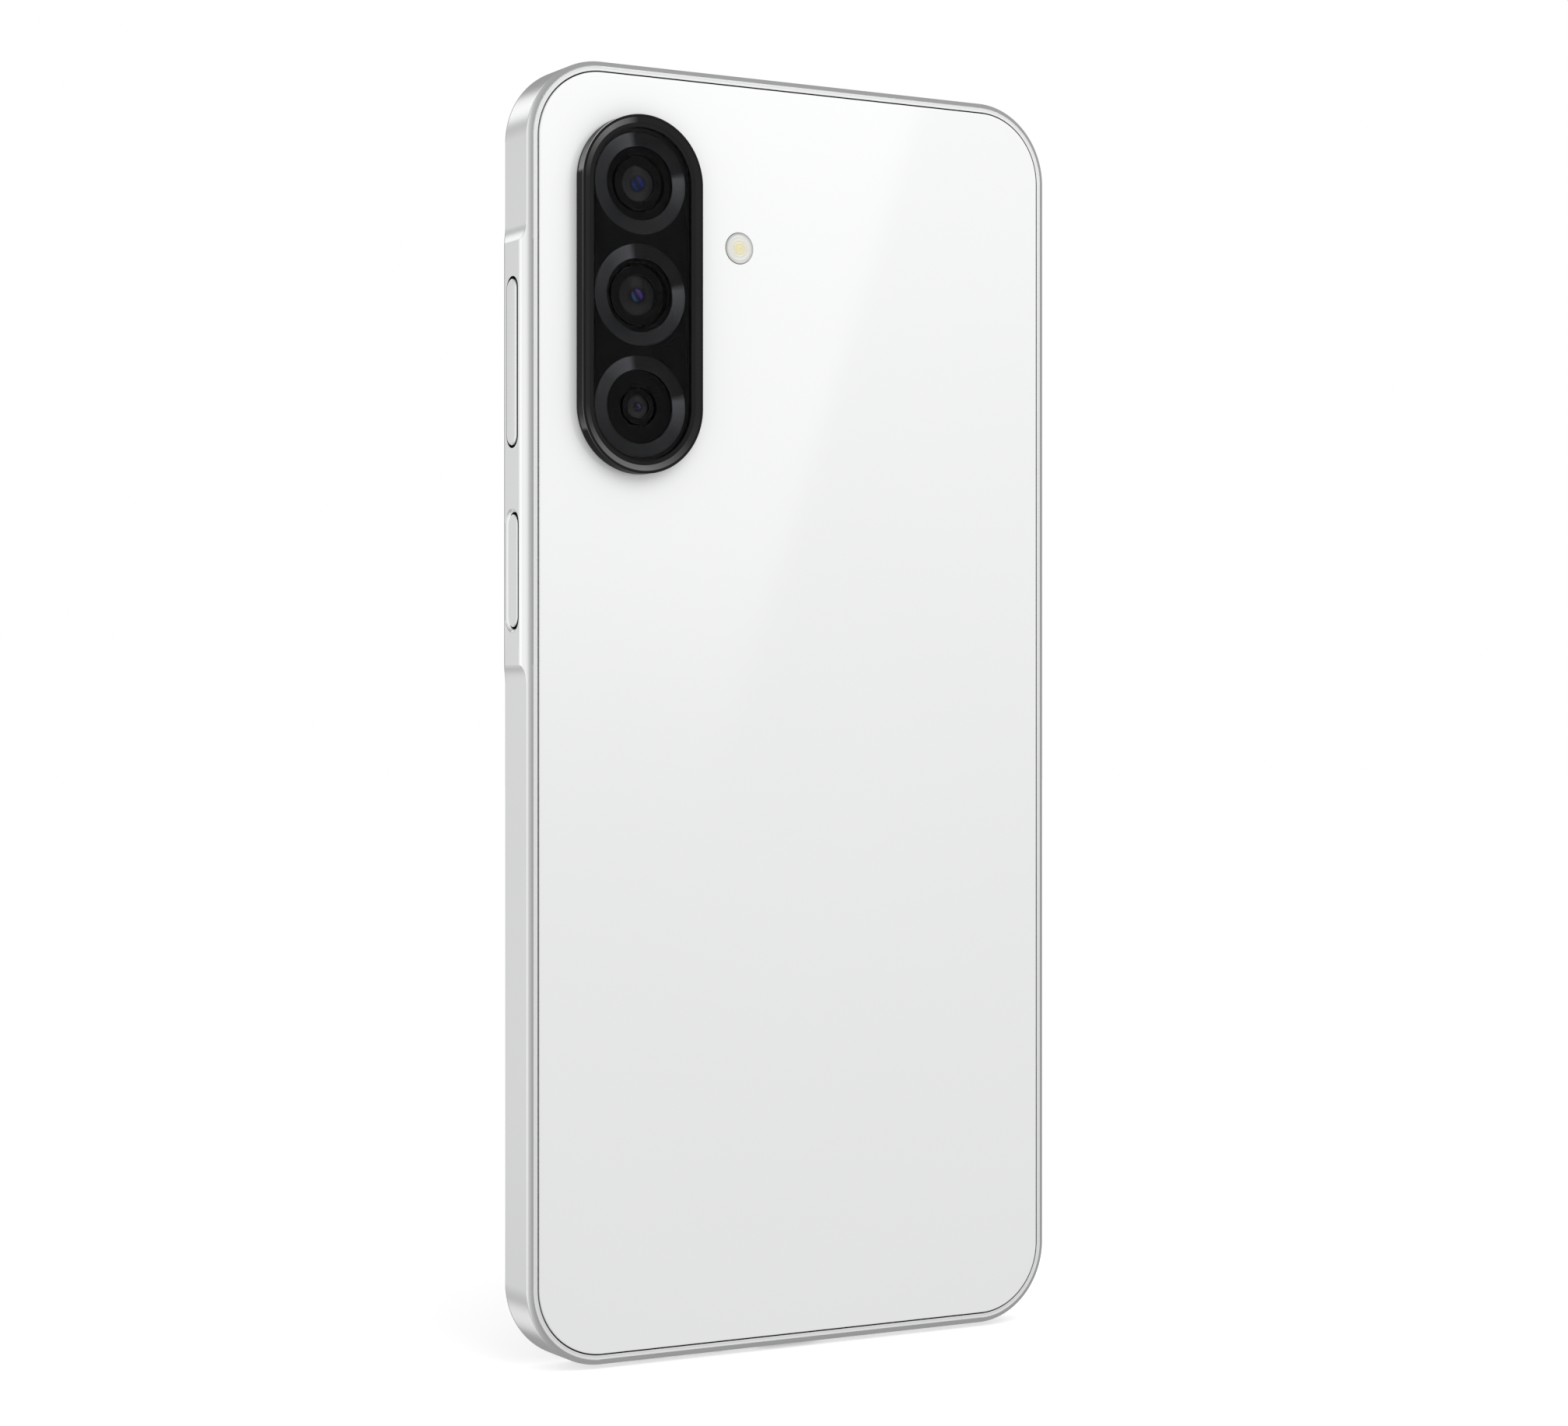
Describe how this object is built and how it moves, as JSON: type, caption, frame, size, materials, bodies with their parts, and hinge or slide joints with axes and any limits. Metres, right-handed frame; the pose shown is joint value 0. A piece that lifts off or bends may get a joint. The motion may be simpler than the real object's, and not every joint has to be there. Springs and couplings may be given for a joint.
{
  "type": "smartphone",
  "caption": "Slim slab smartphone with flat milled sides, a raised key ridge, a dark upright camera island and a pull-out card tray.",
  "frame": {"origin": "middle of the charging port's mouth, on the bottom edge and halfway through the frame's thickness", "axes": "+Z towards the top edge, +Y out of the rear cover, +X to the right as seen from the screen, where the keys are"},
  "size_m": [0.0783, 0.0096, 0.164],
  "materials": {
    "frame_white": "satin white lacquered plastic",
    "mid_plate_metal": "rolled sheet",
    "rear_glass": "smooth, back-painted white, opaque",
    "adhesive": "foam tape",
    "screen_glass": "black-backed polished glass, opaque",
    "display_layer": "smooth",
    "ribbon": "flexible polyimide",
    "bezel_metal": "anodised dark grey, polished edges",
    "ring_metal": "fine turned, dark",
    "module_black": "fine matte black",
    "lens_glass": "coated glass, blue reflection",
    "flash_plastic": "cloudy moulded window",
    "led_yellow": "phosphor",
    "steel": "stamped",
    "board": "solder mask",
    "cover_plastic": "moulded black",
    "copper_coil": "printed copper coil under film",
    "battery_pouch": "laminated foil pouch under black film",
    "graphite": "pressed graphite",
    "film": "formed film",
    "mesh": "woven cloth",
    "tungsten": "sintered heavy alloy"
  },
  "bodies": {
    "phone_body": {"side_frame": "frame_white", "mid_plate": "mid_plate_metal", "rear_cover": "rear_glass", "rear_cover_adhesive": "adhesive", "display_glass": "screen_glass", "display_panel": "display_layer", "display_adhesive": "adhesive", "display_flex": "ribbon", "camera_bezel": "bezel_metal", "camera_glass": "screen_glass", "camera_ring_top": "ring_metal", "camera_ring_middle": "ring_metal", "camera_ring_bottom": "ring_metal", "camera_gasket": "adhesive", "wide_camera_housing": "module_black", "ultrawide_camera": "module_black", "ultrawide_lens": "lens_glass", "macro_camera": "module_black", "macro_lens": "lens_glass", "front_camera": "module_black", "front_camera_lens": "lens_glass", "flash_lens": "flash_plastic", "flash_led": "led_yellow", "key_flex": "ribbon", "key_retainer": "steel", "main_board": "board", "shield_front": "steel", "shield_rear": "steel", "upper_cover": "cover_plastic", "nfc_coil": "copper_coil", "light_sensor": "module_black", "battery": "battery_pouch", "battery_flex": "ribbon", "graphite_sheet": "graphite", "main_flex": "ribbon", "antenna_cable": "cover_plastic", "sub_board": "board", "lower_cover": "cover_plastic", "loudspeaker_case": "cover_plastic", "speaker_mesh": "mesh", "earpiece_case": "cover_plastic", "earpiece_mesh": "mesh", "motor_case": "steel", "usb_shell": "steel", "usb_tongue": "cover_plastic", "sim_socket": "steel", "bottom_microphone": "steel", "top_microphone": "steel", "screws": "steel"},
    "volume_key_body": {"volume_key": "frame_white"},
    "power_key_body": {"power_key": "frame_white", "fingerprint_sensor": "module_black"},
    "card_tray": {"sim_tray": "frame_white"},
    "eject_rod": {"sim_eject_rod": "steel"},
    "eject_lever": {"sim_eject_lever": "steel"},
    "motor_weight": {"motor_rotor": "tungsten"},
    "focus_barrel": {"wide_camera_barrel": "module_black", "wide_camera_lens": "lens_glass"},
    "loudspeaker_cone": {"loudspeaker_diaphragm": "film"},
    "earpiece_cone": {"earpiece_diaphragm": "film"}
  },
  "joints": [
    {"name": "volume_key_tilt", "type": "hinge", "parent": "phone_body", "child": "volume_key_body", "pos_m": [0.03592, 0, 0.1259], "axis": [0, 1, 0], "range_deg": [-1.2, 1.2], "stiffness_Nm_per_rad": 1.2},
    {"name": "power_key_press", "type": "slide", "parent": "phone_body", "child": "power_key_body", "axis": [-1, 0, 0], "range_m": [0, 0.0003], "stiffness_N_per_m": 6000},
    {"name": "card_tray_slide", "type": "slide", "parent": "phone_body", "child": "card_tray", "axis": [-1, 0, 0], "range_m": [0, 0.024]},
    {"name": "eject_rod_push", "type": "slide", "parent": "phone_body", "child": "eject_rod", "axis": [1, 0, 0], "range_m": [0, 0.0012]},
    {"name": "eject_lever_turn", "type": "hinge", "parent": "phone_body", "child": "eject_lever", "pos_m": [-0.0099, 0.0004, 0.1361], "axis": [0, 1, 0], "range_deg": [0, 21.59]},
    {"name": "motor_spin", "type": "hinge", "parent": "phone_body", "child": "motor_weight", "pos_m": [-0.026, -0.0003, 0.013], "axis": [0, 1, 0], "continuous": true},
    {"name": "focus_travel", "type": "slide", "parent": "phone_body", "child": "focus_barrel", "axis": [0, 1, 0], "range_m": [0, 0.00025]},
    {"name": "loudspeaker_stroke", "type": "slide", "parent": "phone_body", "child": "loudspeaker_cone", "axis": [0, 1, 0], "range_m": [-0.0002, 0.0002], "stiffness_N_per_m": 800},
    {"name": "earpiece_stroke", "type": "slide", "parent": "phone_body", "child": "earpiece_cone", "axis": [0, 1, 0], "range_m": [-0.0001, 0.0001], "stiffness_N_per_m": 800}
  ],
  "couplings": [
    {"joint": "eject_lever_turn", "follows": "eject_rod_push", "rad_per_m": 312.5}
  ]
}
